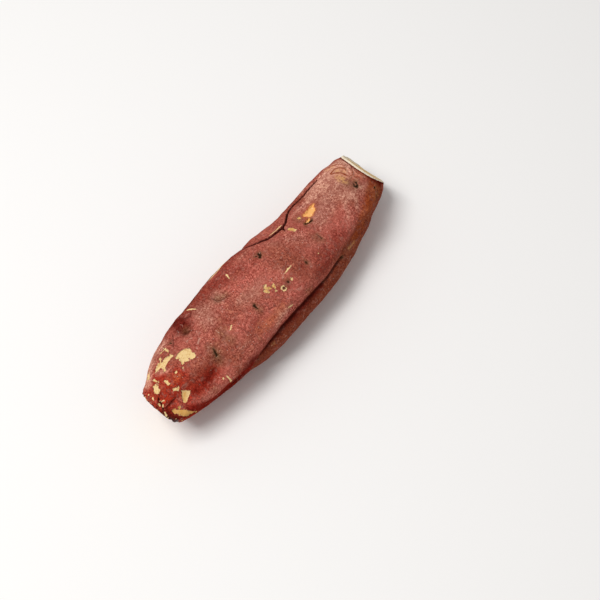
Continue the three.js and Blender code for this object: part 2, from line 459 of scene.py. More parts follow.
class PotatoShape(bpy.types.PropertyGroup):
    """Sizes of the relief that is pressed into the skin."""

    levels: IntProperty(name="Subdivisions", description="Levels of the fine mesh", default=2, min=1, max=2)
    lump: length("Lumps", "Height of the broad lumps in the skin", 0.7 * MM)
    wrinkle: length("Wrinkles", "Height of the lengthwise wrinkles on the sides", 0.3 * MM)
    skin: length("Skin", "Thickness of the skin that has peeled away", 0.35 * MM)
    crack: length("Crack", "Depth of the crack beside the flap", 1.5 * MM)
    flap: length("Flap", "How far the flap stands up beside the crack", 0.9 * MM)
    crease: length("Crease", "Depth of the folds in the skin", 0.9 * MM)
    swell: length("Swells", "Height of the broad swells, and depth of the hollows", 0.9 * MM)
    crest: length("Crest", "How far the skin stands out above the long crease", 0.9 * MM)
    eye: length("Eyes", "Depth of the eyes", 0.7 * MM)
    pucker: length("Puckers", "Depth of the puckers at the root-end cut", 1.4 * MM)
    lip: length("Lip", "How far the skin curls out around the stem-end cut", 0.5 * MM)
    root_lumps: length("Root-end lumps", "Height of the lumps around the root-end cut", 0.9 * MM)
    cut_lumps: length("Cut lumps", "Height of the lumps on the cut faces", 0.25 * MM)


class PotatoColours(bpy.types.PropertyGroup):
    """Colours of the skin and the flesh."""

    skin: colour("Skin", "The baked skin", "#A15245")
    brown: colour("Brown skin", "Where the skin has baked browner", "#924A39")
    # Pinker skin, and painted highlights.
    rosy_and_highlight: colour("Rosy skin", "Where the skin is pinker", "#B35D50")
    # Darker skin in patches, and painted shade.
    dusky_and_shade: colour("Dusky skin", "Where the skin has baked darker", "#7E2E24")
    # The pale colour also paints highlights and sheen.
    pale: colour("Pale skin", "Where the skin is dry and pale", "#CE927D")
    moist: colour("Moist skin", "Where the skin is thin and moist", "#982A1A")
    # Darkest skin, much of it painted shade in hollows and along edges; it also paints the shadow under the
    # stem-end lip.
    maroon_and_shade: colour("Maroon skin", "Where the skin has baked darkest", "#5A120C")
    # The syrup colour is painted shade, the dark red band along the lobe's lower edge.
    syrup: colour("Syrup", "Where syrup has soaked the skin", "#77150D")
    # Brown skin of the flank, darkened with painted shade.
    flank: colour("Flank", "The sunken side under the crest", "#7C3926")
    rust: colour("Rust", "The orange brown skin beside the cuts", "#8E3F20")
    # Dusty bloom, and painted sheen.
    bloom_and_sheen: colour("Bloom", "The dusty bloom on the skin", "#AE7463")
    # Orange skin, and painted highlights.
    orange_and_highlight: colour("Glow", "Where orange flesh shows through the skin", "#BC633C")
    dark_fleck: colour("Dark flecks", "Fine dark flecks in the skin", "#6A2620")
    pale_fleck: colour("Pale flecks", "Fine pale flecks in the skin", "#C58F7E")
    frost: colour("Frost", "Specks of dried sugar and starch", "#E6D2C4")
    eye: colour("Eyes", "The pits of the eyes", "#2A1D10")
    olive: colour("Eye surrounds", "The stained skin around an eye", "#655035")
    # Painted shade: the dark in the bottoms of cracks, creases and folds.
    crease: colour("Creases", "The bottoms of cracks and folds", "#3C0F0C")
    amber: colour("Amber", "Dried syrup", "#D8A068")
    peeled: colour("Peeled", "Dried flesh under peeled skin", "#E9C991")
    peeled_shade: colour("Peeled shade", "Darker parts of the dried flesh", "#CBA061")
    torn: colour("Torn", "Moist flesh under torn skin", "#F0B56F")
    crust: colour("Crust", "Burnt syrup around the root-end cut", "#42150E")
    flesh: colour("Flesh", "The cut flesh", "#EABC66")
    flesh_shade: colour("Flesh shade", "Darker fibres in the cut flesh", "#CD9142")
    rind: colour("Rind", "The pale dried rim of a cut", "#F6E6CB")


class PotatoStage(bpy.types.PropertyGroup):
    """The floor, the lights and the camera."""

    floor_size: length("Floor", "Width of the floor", 12.0)
    floor_gap: length("Floor gap", "How far the floor is below the object", 0.05 * MM)
    floor: colour("Floor colour", "The pale floor", "#F5F3F1")
    ambient: FloatProperty(name="Ambient", description="Light from all around", default=0.42, min=0)
    key_power: FloatProperty(
        name="Key", description="Power of the main lamp", default=13.0, min=0, unit="POWER"
    )
    key_size: length("Key size", "Width of the main lamp", 0.6)
    key_place: FloatVectorProperty(
        name="Key place", description="Where the main lamp is, from the object's middle",
        default=(-0.45, 0.35, 1.2), size=3, unit="LENGTH",
    )
    azimuth: FloatProperty(
        name="Azimuth", description="Camera's turn around the object", default=radians(-53.8), subtype="ANGLE"
    )
    elevation: FloatProperty(
        name="Elevation", description="Camera's angle above level", default=radians(62), subtype="ANGLE"
    )
    distance: length("Distance", "From the object to the camera", 0.759)
    lens: FloatProperty(name="Lens", description="Focal length in millimetres", default=85, min=1)
    framing: FloatVectorProperty(
        name="Framing", description="How far right of and below the object's middle the view is centred",
        default=(0.0153, 0.0081), size=2, unit="LENGTH",
    )


# ----------------------------------------
# Shape


def slope(low, high, values):
    """0 up to a low value and 1 past a high one, eased in between."""
    share = np.clip((values - low) / (high - low), 0, 1)
    return share * share * (3 - 2 * share)


def only(piece):
    """Makes a piece the only one that operators act on."""
    bpy.ops.object.select_all(action="DESELECT")
    piece.hide_set(False)
    piece.select_set(True)
    bpy.context.view_layer.objects.active = piece


def copy_of_node(node, name):
    """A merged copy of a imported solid, in quads, as a piece of its own."""
    piece = bpy.data.objects.new(name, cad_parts[node].data.copy())
    piece.data.name = name
    bpy.context.scene.collection.objects.link(piece)
    only(piece)
    bpy.ops.object.mode_set(mode="EDIT")
    bpy.ops.mesh.select_all(action="SELECT")
    bpy.ops.mesh.remove_doubles(threshold=MERGE_DISTANCE * MM)
    bpy.ops.mesh.tris_convert_to_quads(face_threshold=QUAD_ANGLE, shape_threshold=QUAD_ANGLE)
    bpy.ops.mesh.normals_make_consistent(inside=False)
    bpy.ops.object.mode_set(mode="OBJECT")
    return piece


def select_faces(piece, wanted):
    """Goes into edit mode with the faces selected that pass a test."""
    only(piece)
    bpy.ops.object.mode_set(mode="EDIT")
    bpy.ops.mesh.select_mode(type="FACE")
    bpy.ops.mesh.select_all(action="DESELECT")
    bpy.ops.object.mode_set(mode="OBJECT")
    for face in piece.data.polygons:
        face.select = bool(wanted(face))
    bpy.ops.object.mode_set(mode="EDIT")


def add_cut_material(piece):
    """Gives both cuts' faces the second material, and keeps their rims crisp when the mesh is subdivided."""
    along = [vertex.co.x for vertex in piece.data.vertices]
    ends = (min(along), max(along))

    def on_a_cut(face):
        near_end = min(abs(face.center.x - end) for end in ends) < CUT_REACH * MM
        return near_end and abs(face.normal.x) > cos(CUT_LEAN)

    select_faces(piece, on_a_cut)
    piece.active_material_index = 1
    bpy.ops.object.material_slot_assign()
    bpy.ops.mesh.region_to_loop()
    bpy.ops.transform.edge_crease(value=RIM_CREASE)
    bpy.ops.object.mode_set(mode="OBJECT")


def subdivide(piece, levels):
    only(piece)
    fine = piece.modifiers.new("Fine mesh", "SUBSURF")
    fine.levels = fine.render_levels = levels
    bpy.ops.object.modifier_apply(modifier=fine.name)


def refine(piece, wanted):
    """Cuts each face that touches a wanted point into four."""
    select_faces(piece, lambda face: wanted[list(face.vertices)].any())
    bpy.ops.mesh.subdivide(number_cuts=1, ngon=False)
    bpy.ops.object.mode_set(mode="OBJECT")


class Surface:
    """A piece's points in millimetres, each with its degrees around the root."""

    def __init__(self, mesh):
        count = len(mesh.vertices)
        points, normals = np.empty(count * 3), np.empty(count * 3)
        mesh.vertices.foreach_get("co", points)
        mesh.vertex_normals.foreach_get("vector", normals)
        self.points = points.reshape(-1, 3) / MM
        self.normals = normals.reshape(-1, 3)

        on_skin = np.zeros(count, bool)
        on_cut = np.zeros(count, bool)
        for face in mesh.polygons:
            (on_cut if face.material_index else on_skin)[list(face.vertices)] = True
        self.skin = on_skin
        self.rim = on_skin & on_cut

        x = self.points[:, 0]
        stations = np.arange(x.min() + SECTION_STEP, x.max() - SECTION_STEP, SECTION_STEP)
        middles = []
        for station in stations:
            section = self.points[np.abs(x - station) < SECTION_STEP]
            middles.append((section.min(0) + section.max(0)) / 2)
        middles = np.array(middles)
        self.middle_y = np.interp(x, stations, middles[:, 1])
        self.middle_z = np.interp(x, stations, middles[:, 2])
        out_y = self.points[:, 1] - self.middle_y
        out_z = self.points[:, 2] - self.middle_z
        self.degrees = np.degrees(np.arctan2(out_z, out_y)) % 360

    def place(self, along, degrees):
        """The point of the skin at a place: millimetres along the root and degrees around it."""
        turned = np.abs((self.degrees - degrees + 180) % 360 - 180)
        away = np.hypot(self.points[:, 0] - along, np.radians(turned) * AROUND_RADIUS)
        away[~self.skin] = np.inf
        nearest = np.argpartition(away, NEIGHBOURS)[:NEIGHBOURS]
        weights = 1 / (away[nearest] + 0.01)  # the nearer, the more it counts
        return weights @ self.points[nearest] / weights.sum()

    def laid(self, stroke):
        """A stroke's points on the skin in short steps, with their half widths."""
        spots = [(*self.place(*stroke[0][:2]), stroke[0][2])]
        for start, end in zip(stroke, stroke[1:]):
            start, end = np.array(start, float), np.array(end, float)
            run = np.hypot(end[0] - start[0], np.radians(end[1] - start[1]) * AROUND_RADIUS)
            steps = max(1, round(run / STROKE_STEP))
            for step in range(1, steps + 1):
                along, degrees, width = start + (end - start) * step / steps
                spots.append((*self.place(along, degrees), width))
        return np.array(spots)

    def beside(self, start, end):
        """Each point's share of the way along a straight step, and its offset from the nearest spot of it."""
        run = end - start
        share = np.clip((self.points - start) @ run / max(run @ run, 1e-9), 0, 1)
        return share, self.points - start - share[:, None] * run

    def inside(self, *strokes):
        """How many millimetres inside some strokes each point is: 0 on an edge, and negative outside."""
        deepest = np.full(len(self.points), -np.inf)
        for stroke in strokes:
            spots = self.laid(stroke)
            if len(spots) == 1:
                spots = np.vstack([spots, spots])
            for start, end in zip(spots, spots[1:]):
                share, offset = self.beside(start[:3], end[:3])
                away = np.linalg.norm(offset, axis=1)
                deepest = np.maximum(deepest, start[3] + (end[3] - start[3]) * share - away)
        return deepest

    def side(self, stroke):
        """1 on the left of a stroke as it runs on over the skin, and -1 on its right."""
        spots = self.laid(stroke)
        nearest = np.full(len(self.points), np.inf)
        hand = np.zeros(len(self.points))
        for start, end in zip(spots[:, :3], spots[1:, :3]):
            _, offset = self.beside(start, end)
            away = np.linalg.norm(offset, axis=1)
            left = np.einsum("ij,ij->i", np.cross(self.normals, end - start), offset)
            closer = away < nearest
            nearest[closer] = away[closer]
            hand[closer] = np.sign(left[closer])
        return hand

    def from_rim(self, end):
        """Millimetres from each point to a cut's rim: end is -1 at the root end and 1 at the stem end."""
        rim = self.points[self.rim & (np.sign(self.points[:, 0]) == end)]
        return np.array([np.sqrt(((rim - point) ** 2).sum(1).min()) for point in self.points])

    def wander(self, size, seed, stretch=1.0):
        """Smooth noise from about -1 to 1. Its waves have a size in millimetres, and along the root they are
        longer by the stretch."""
        scale = Vector((1 / (size * stretch), 1 / size, 1 / size))
        shift = Vector((seed, seed * 2.3, seed * 4.1))
        return np.array([noise.noise(Vector(point) * scale + shift) for point in self.points])


def ridge(values, middle, breadth):
    """1 where the values are at a middle, falling away to nothing over a breadth on both sides."""
    return np.exp(-(((values - middle) / breadth) ** 2))


def swelling(surface, strokes):
    """1 along the middle of some strokes, falling away to nothing over their reach."""
    reaches = [stroke[0][2] for stroke in strokes]
    return sum(ridge(surface.inside(stroke), reach, reach) for stroke, reach in zip(strokes, reaches))


def press_marks(surface, shape):
    """How far each point moves along its normal, in millimetres."""
    peeled, torn, crack, branches, creases, folds, eyes, arcs, puckers = (
        surface.inside(*strokes)
        for strokes in (PEELED, TORN, [CRACK], CRACK_BRANCHES, CREASES, FOLDS, EYES, ARCS, PUCKERS)
    )
    stem_rim = surface.from_rim(1)
    root_rim = surface.from_rim(-1)
    lumps = surface.wander(14, 1) + 0.35 * surface.wander(5, 2) + 0.12 * surface.wander(2, 7)
    sides = 0.35 + 0.65 * slope(150, 190, surface.degrees) * slope(375, 330, surface.degrees)
    along_flap = np.interp(surface.points[:, 0], FLAP_RISE["along"], FLAP_RISE["share"])
    on_flap = surface.side(CRACK) > 0
    above_crease = surface.side(LONG_CREASE) > 0

    # Each form's height, and its shape: where a mark's slope begins and ends, or where the ridge beside it is
    # and how broad, in millimetres inside the mark's edge.
    forms = (
        (shape.lump, lumps),
        (shape.wrinkle, sides * surface.wander(2.4, 3, stretch=9)),
        (-shape.skin, slope(-0.1, 0.25, peeled)),
        (0.5 * shape.skin, ridge(peeled, -0.3, 0.35)),
        (-2.5 * shape.skin, slope(-0.2, 0.8, torn)),
        (0.9 * shape.skin, ridge(torn, -0.4, 0.5)),
        (shape.flap, along_flap * on_flap * ridge(np.minimum(crack, 0), 0, 3)),
        (-shape.crack, slope(-0.2, 0.2, crack)),
        (-0.5 * shape.crack, slope(-0.6, 0.1, branches)),
        (-0.7 * shape.crease, slope(-1.1, 0.4, creases)),
        (shape.swell, swelling(surface, SWELLS) - 0.8 * swelling(surface, HOLLOWS)),
        (shape.crest, above_crease * ridge(surface.inside(LONG_CREASE), -2, 1.9)),
        (-0.5 * shape.crease, slope(-0.7, 0.2, folds)),
        (0.2 * shape.crease, ridge(folds, -1.3, 0.8)),
        (-shape.eye, slope(-0.7, 0.5, eyes)),
        (0.3 * shape.eye, ridge(eyes, -1.2, 0.8)),
        (0.6 * shape.crease, slope(-0.9, 0.2, arcs)),
        (-shape.pucker, slope(-1.0, 0.6, puckers)),
        (shape.lip, ridge(stem_rim, 0, 1.1)),
        (shape.root_lumps, surface.wander(2.2, 5) * ridge(root_rim, 0, 2.5)),
    )
    lift = sum(height / MM * profile for height, profile in forms)
    on_cut = ~surface.skin
    lift[on_cut] = shape.cut_lumps / MM * surface.wander(1.8, 6)[on_cut]
    return lift


def move_along_normals(mesh, surface, lift):
    moved = (surface.points + surface.normals * lift[:, None]) * MM
    moved[:, 2] = np.maximum(moved[:, 2], 0)
    low, high = (np.array(corner) for corner in CAD_BOX)
    moved = np.clip(moved, low, high)
    mesh.vertices.foreach_set("co", moved.ravel())
    mesh.update()


def keep(mesh, name, values):
    """Keeps a number for each point of the mesh, for the materials to read."""
    attribute = mesh.attributes.new(name, "FLOAT", "POINT")
    attribute.data.foreach_set("value", values.astype(np.float32))


def keep_marks(mesh, surface):
    """Keeps where the marks are: drawn ones in millimetres inside their edge, the cuts' rims in millimetres
    away, and tints from 0 to 1."""
    ring_away = np.linalg.norm(surface.points - surface.place(*RING["place"]), axis=1)
    ring = RING["half_width"] - np.abs(ring_away - RING["radius"])
    keep(mesh, "peeled", surface.inside(*PEELED))
    keep(mesh, "torn", surface.inside(*TORN))
    keep(mesh, "scratch_and_glint", np.maximum(surface.inside(*SCRATCHES), ring))
    keep(mesh, "scuff", surface.inside(*SCUFFS))
    keep(mesh, "arc", surface.inside(*ARCS))
    keep(mesh, "eye", np.maximum(surface.inside(*EYES), RING["eye"] - ring_away))
    keep(mesh, "crack", surface.inside(CRACK, *CRACK_BRANCHES))
    keep(mesh, "crease", surface.inside(*CREASES))
    keep(mesh, "fold", surface.inside(*FOLDS))
    root_rim, stem_rim = surface.from_rim(-1), surface.from_rim(1)
    keep(mesh, "root_rim", root_rim)
    keep(mesh, "stem_rim", stem_rim)
    # The burnt syrup reaches furthest from its cut at the -Y side, and the dried edge near the top.
    burnt = 0.1 + 1.8 * ridge(surface.degrees, 168, 28)
    keep(mesh, "crust", burnt - root_rim)
    dried = 0.35 + 0.95 * np.maximum(np.cos(np.radians(surface.degrees - 72)), 0)
    keep(mesh, "dried_edge", dried - stem_rim)
    for tint, (fade, _, strokes) in TINTS.items():
        keep(mesh, tint, slope(-fade, 0.3 * fade, surface.inside(*strokes)))


# ----------------------------------------
# Materials

FACTOR, COLOUR_A, COLOUR_B, MIXED = 0, 6, 7, 2  # sockets of a Mix node that mixes colours
WHITE, BLACK = (1, 1, 1, 1), (0, 0, 0, 1)
SMOOTH = {"interpolation_type": "SMOOTHSTEP"}  # for a Map Range node that eases in and out
GRAIN_TINT = (1.0, 1.6, 1.7)  # how strongly the skin's grain shades its red, green and blue
DARKEST_GRAIN = -0.45  # how far the grain can darken the skin, where -1 is black
FIBRE_STRETCH = 6  # how many times longer than broad the skin's fibres are

# Cloudy patterns in the skin: the size of the grains in millimetres, detail, roughness, distortion and seed.
PATTERNS = {
    "region": (26, 3, 0.5, 0, 2),
    "frost": (16, 2, 0.5, 0, 9),
    "calm": (9, 3, 0.5, 0, 11),
    "blotch": (7, 4, 0.6, 0, 0),
    "dark hair": (7, 1, 0.5, 0.4, 6),
    "pale hair": (5, 1, 0.5, 0.4, 5),
    "gap": (4, 3, 0.5, 0, 7),
    "cloud": (2.8, 5, 0.65, 0, 0),
    "tear": (2.4, 3, 0.5, 0, 3),
    "fleck": (1.1, 3, 0.6, 0, 0),
    "fray": (0.9, 2, 0.5, 0, 4),
    "fibre": (0.9, 3, 0.6, 0, 12),
    "pore": (0.5, 2, 0.5, 0, 0),
}

# Masks cut from the patterns: the pattern, its values where the mask is least and where it is greatest, and
# those two strengths.
PATTERN_MASKS = {
    "brown": ("region", 0.38, 0.62, 0, 1),
    "rosy_and_highlight": ("blotch", 0.42, 0.68, 0, 0.45),
    "bloom_and_sheen": ("cloud", 0.15, 0.6, 0, 1),
    "pale": ("cloud", 0.15, 0.5, 0, 1),
    "amber": ("fleck", 0.35, 0.6, 0, 1),
    "milky": ("cloud", 0.5, 0.34, 0, 0.25),
    "scurf": ("fleck", 0.44, 0.3, 0, 0.3),
    "hair": ("gap", 0.56, 0.64, 0, 1),
    "frost": ("frost", 0.42, 0.6, 0.04, 0.3),
    "grain": ("calm", 0.4, 0.6, 0.6, 1.05),
    "arc": ("cloud", 0.4, 0.6, 0.6, 0.95),
    "dried flesh": ("fleck", 0.45, 0.7, 0, 0.8),
    "strands": ("cloud", 0.42, 0.3, 0, 0.7),
    "roughness": ("blotch", 0.3, 0.7, 0.5, 0.66),
}

# Masks cut from the drawn marks: the mark, how ragged its edge is, how many millimetres inside that edge the
# mask starts and is full, and how strong it is there.
MARK_MASKS = {
    "peeled": ("peeled", 1, -0.08, 0.1, 1),
    "torn": ("torn", 1, -0.05, 0.08, 1),
    "torn rim": ("torn", 1, 0.35, -0.1, 0.5),
    "beside torn": ("torn", 1, -1.3, -0.1, 0.6),
    "scratch_and_glint": ("scratch_and_glint", 0.35, -0.1, 0.12, 1),
    "scuff": ("scuff", 0.4, -0.25, 0.2, 0.8),
    "eye": ("eye", 0.6, -0.35, 0.25, 0.95),
    "stain": ("eye", 1.5, -1.8, 0.3, 0.5),
    # These three are painted shade, darkening the cracks, creases and folds.
    "crack": ("crack", 0.25, -0.3, 0.12, 1),
    "crease": ("crease", 0.4, -1.3, 0.4, 0.75),
    "fold": ("fold", 0.3, -0.5, 0.1, 0.5),
    "arc": ("arc", 0.5, -0.15, 0.2, 1),
    # A painted highlight beside each wrinkle around the stem end.
    "arc highlight": ("arc", 0.7, -1.1, -0.5, 0.45),
    "crust": ("crust", 1.2, -0.5, 0.6, 1),
    "root edge": ("root_rim", 2, -0.4, -0.55, 1),
    "stem edge": ("dried_edge", 0.3, -0.1, 0.1, 1),
    # A painted shadow under the lip of skin that curls out around the stem-end cut.
    "stem lip shadow": ("dried_edge", 0.5, -1.3, -0.5, 0.9),
}


def per_metre(size):
    """The scale of a pattern whose grains are this many millimetres across."""
    return 1 / (size * MM)


def plug(tree, node, inputs):
    """Gives a node's sockets, by name or in their order, a value or another node's output."""
    for name, value in inputs.items() if isinstance(inputs, dict) else enumerate(inputs):
        if isinstance(value, bpy.types.NodeSocket):
            tree.links.new(value, node.inputs[name])
        else:
            node.inputs[name].default_value = value


def add_node(tree, kind, inputs=(), output=0, **settings):
    """Adds a node with its settings and inputs, and gives back one of its outputs, if it has any. The kind is
    its type's name after ShaderNode."""
    node = tree.nodes.new(f"ShaderNode{kind}")
    for name, value in settings.items():
        setattr(node, name, value)
    plug(tree, node, inputs)
    return node.outputs[output] if node.outputs else None


def new_material(name):
    """A material with its shader, and its node tree and Object coordinates to build on."""
    material = bpy.data.materials.new(name)
    material.use_nodes = True
    tree = material.node_tree
    tree.nodes.clear()
    shaded = add_node(tree, "BsdfPrincipled")
    add_node(tree, "OutputMaterial", {"Surface": shaded})
    place = add_node(tree, "TexCoord", output="Object")
    return material, tree, shaded.node, place


def layered(tree, base, layers):
    """Lays colours over a base, each by the product of its masks."""
    for hue, mask, *more_masks in layers:
        for other in more_masks:
            mask = add_node(tree, "Math", (mask, other), operation="MULTIPLY")
        inputs = {FACTOR: mask, COLOUR_A: base, COLOUR_B: hue}
        base = add_node(tree, "Mix", inputs, MIXED, data_type="RGBA")
    return base


def skin_material(colours):
    """Baked sweet potato skin: thin, dry and papery, so it has no gloss of its own, and only the burnt syrup
    at the root-end cut has a glossy coat. Its colour breaks up at every size, from patches of bloom to flecks
    the size of a pore, and that grain makes it read as a root."""
    material, tree, shader, place = new_material("Baked sweet potato skin")

    along = add_node(tree, "VectorMath", (place, (1 / FIBRE_STRETCH, 1.0, 1.0)), operation="MULTIPLY")
    pattern = {}
    for name, (size, detail, roughness, distortion, seed) in PATTERNS.items():
        inputs = {
            "Vector": along if name == "fibre" else place,
            "W": seed,
            "Scale": per_metre(size),
            "Detail": detail,
            "Roughness": roughness,
            "Distortion": distortion,
        }
        pattern[name] = add_node(tree, "TexNoise", inputs, noise_dimensions="4D")

    def swing(weights):
        """Patterns added up by their weights, moved so that the sum swings about 0."""
        total = -0.5 * sum(weights.values())
        for name, weight in weights.items():
            inputs = (pattern[name], weight, total)
            total = add_node(tree, "Math", inputs, operation="MULTIPLY_ADD")
        return total

    def edged(name, edge, amount, low, high, strength):
        """A mask cut from a kept mark, after a pattern has moved its edge in and out by an amount."""
        mark = add_node(tree, "Attribute", output="Fac", attribute_name=name)
        moved = add_node(tree, "Math", (edge, amount, mark), operation="MULTIPLY_ADD")
        return add_node(tree, "MapRange", (moved, low, high, 0, strength), **SMOOTH)

    def specks(spacing, radius, density):
        """Round specks: one in some of the cells of a cellular pattern."""
        away = add_node(tree, "TexVoronoi", {"Vector": place, "Scale": per_metre(spacing)})
        limits = (away, 1.25 * radius / spacing, 0.75 * radius / spacing)
        dot = add_node(tree, "MapRange", limits, **SMOOTH)
        lot = add_node(tree, "SeparateColor", (away.node.outputs["Color"],))
        chosen = add_node(tree, "Math", (lot, density), operation="LESS_THAN")
        return add_node(tree, "Math", (dot, chosen), operation="MULTIPLY")

    def hairlines(name, width):
        """Fine curved lines, a width in millimetres, where a pattern passes its middle value."""
        share = width / PATTERNS[name][0]
        off_middle = add_node(tree, "Math", (swing({name: 1}),), operation="ABSOLUTE")
        limits = (off_middle, share, 0.3 * share)
        return add_node(tree, "MapRange", limits, **SMOOTH)

    cut = {}
    for name, (source, *limits) in PATTERN_MASKS.items():
        cut[name] = add_node(tree, "MapRange", (pattern[source], *limits), **SMOOTH)
    ragged = swing({"tear": 2.0, "fray": 2.1})
    mark = {name: edged(source, ragged, *limits) for name, (source, *limits) in MARK_MASKS.items()}
    cloudy = swing({"blotch": 1.0, "cloud": 0.8})
    tint = {name: edged(name, cloudy, 1, 0, 1.1, strength) for name, (_, strength, _) in TINTS.items()}

    tinted = layered(tree, colours.skin, [
        (colours.brown, cut["brown"]),
        # pinker skin, and painted highlights on the crest and the lobe
        (colours.rosy_and_highlight, tint["rosy_and_highlight"]),
        (colours.rosy_and_highlight, cut["rosy_and_highlight"]),
        # darker patches, and painted shade
        (colours.dusky_and_shade, tint["dusky_and_shade"]),
        # brown flank, with painted shade
        (colours.flank, tint["flank"]),
        (colours.rust, tint["rust"]),
        (colours.moist, tint["moist"]),
        # dusty bloom, and painted sheen
        (colours.bloom_and_sheen, tint["bloom_and_sheen"], cut["bloom_and_sheen"]),
        # dry pale skin, and painted highlights
        (colours.pale, tint["pale"], cut["pale"]),
        # orange skin, and painted highlights
        (colours.orange_and_highlight, tint["orange_and_highlight"]),
        # darkest skin, and painted shade
        (colours.maroon_and_shade, tint["maroon_and_shade"]),
        # painted shade along the lobe's lower edge
        (colours.syrup, tint["syrup"]),
        (colours.olive, tint["olive"]),
    ])

    grain = (swing({"cloud": 1.4, "fleck": 3.4, "pore": 2.6}), cut["grain"], swing({"fibre": 0.5}))
    shade = add_node(tree, "Math", grain, operation="MULTIPLY_ADD")
    shade = add_node(tree, "Math", (shade, DARKEST_GRAIN), operation="MAXIMUM")
    inputs = (shade, GRAIN_TINT, (1.0, 1.0, 1.0))
    shade = add_node(tree, "VectorMath", inputs, operation="MULTIPLY_ADD")
    grained = add_node(tree, "VectorMath", (tinted, shade), operation="MULTIPLY")

    # The pale flecks stay off the darkest skin and the painted shade.
    dark_red_and_shade = add_node(tree, "Math", (tint["maroon_and_shade"], tint["syrup"]), operation="MAXIMUM")
    away_from_dark = add_node(tree, "MapRange", (dark_red_and_shade, 0.2, 0.9, 1, 0.15), **SMOOTH)
    base = layered(tree, grained, [
        (colours.pale_fleck, cut["milky"], away_from_dark),
        (colours.pale_fleck, cut["scurf"], away_from_dark),
        (colours.pale_fleck, hairlines("pale hair", 0.16), cut["hair"], 0.35),
        (colours.dark_fleck, hairlines("dark hair", 0.2), cut["hair"], 0.5),
        (colours.dark_fleck, specks(2.4, 0.28, 0.3), 0.7),
        (colours.frost, specks(1.4, 0.2, cut["frost"]), 0.5),
        (colours.amber, tint["amber"], cut["amber"]),
        # painted highlights beside the wrinkles
        (colours.pale, mark["arc highlight"]),
        (colours.orange_and_highlight, mark["beside torn"]),
        (colours.rust, mark["arc"], cut["arc"]),
        (colours.olive, mark["stain"]),
        (colours.crust, mark["crust"]),
        # painted shadow under the stem-end lip
        (colours.maroon_and_shade, mark["stem lip shadow"]),
        # painted shade in the creases and folds
        (colours.crease, mark["crease"]),
        (colours.crease, mark["fold"]),
        (colours.eye, mark["eye"]),
        # painted shade in the cracks
        (colours.crease, mark["crack"]),
    ])

    rim = add_node(tree, "MapRange", (mark["peeled"], 0.9, 0.5, 0, 0.6), **SMOOTH)
    dried = layered(tree, colours.peeled, [
        (colours.peeled_shade, cut["dried flesh"]),
        (colours.flesh_shade, tint["golden"]),
        (colours.rind, rim),
    ])
    strands = layered(tree, colours.torn, [(colours.rind, cut["strands"]), (colours.rust, mark["torn rim"])])
    surface = layered(tree, base, [
        (colours.pale_fleck, mark["scuff"]),
        (strands, mark["torn"]),
        (dried, mark["peeled"]),
        # pale scratches and crumbs, and painted glints at the root-end cut
        (colours.peeled, mark["scratch_and_glint"]),
        (colours.peeled_shade, mark["root edge"]),
        (colours.rind, mark["stem edge"]),
    ])

    inputs = (tint["moist"], -0.16, cut["roughness"])
    roughness = add_node(tree, "Math", inputs, operation="MULTIPLY_ADD")
    inputs = (mark["peeled"], -0.3, swing({"cloud": 0.6, "fleck": 0.3, "pore": 0.08}))
    height = add_node(tree, "Math", inputs, operation="MULTIPLY_ADD")
    bump = add_node(tree, "Bump", {"Height": height, "Distance": MM, "Strength": 0.8})
    glaze = add_node(tree, "Math", (mark["crust"], 0.4), operation="MULTIPLY")
    plug(tree, shader, {
        "Base Color": surface,
        "Roughness": roughness,
        "Normal": bump,
        "Coat Weight": glaze,
        "Coat Roughness": 0.28,
        "Specular IOR Level": 0.0,
    })
    return material


def flesh_material(colours):
    """Cut sweet potato flesh after baking: starchy and golden, a little moist, with coarse fibres, and paler
    and drier towards its rims, where it has curled away from the skin."""
    material, tree, shader, place = new_material("Baked sweet potato flesh")
    inputs = {"Vector": place, "Scale": per_metre(1.6), "Detail": 4, "Roughness": 0.65}
    fibres = add_node(tree, "TexNoise", inputs)
    inputs = {"Vector": place, "Scale": per_metre(5), "Detail": 2}
    clots = add_node(tree, "TexNoise", inputs)
    shade = add_node(tree, "MapRange", (fibres, 0.42, 0.64, 0, 0.75))
    dry = add_node(tree, "MapRange", (clots, 0.5, 0.66, 0, 0.4))
    uneven = add_node(tree, "MapRange", (clots, 0.3, 0.7, -1.5, 1.5))

    def rim_band(name, width, strength):
        """A band beside a cut's rim that fades out over this many millimetres."""
        away = add_node(tree, "Attribute", output="Fac", attribute_name=name)
        away = add_node(tree, "Math", (away, uneven), operation="ADD")
        limits = (away, width, 0.2 * width, 0, strength)
        return add_node(tree, "MapRange", limits)

    surface = layered(tree, colours.flesh, [
        (colours.flesh_shade, shade),
        (colours.peeled, dry),
        (colours.peeled_shade, rim_band("root_rim", 4.6, 0.8)),
        (colours.peeled, rim_band("stem_rim", 7, 0.8)),
        (colours.rind, rim_band("stem_rim", 2, 0.85)),
    ])
    bump = add_node(tree, "Bump", {"Height": fibres, "Distance": MM, "Strength": 0.7})
    plug(tree, shader, {"Base Color": surface, "Normal": bump, "Roughness": 0.6})
    return material


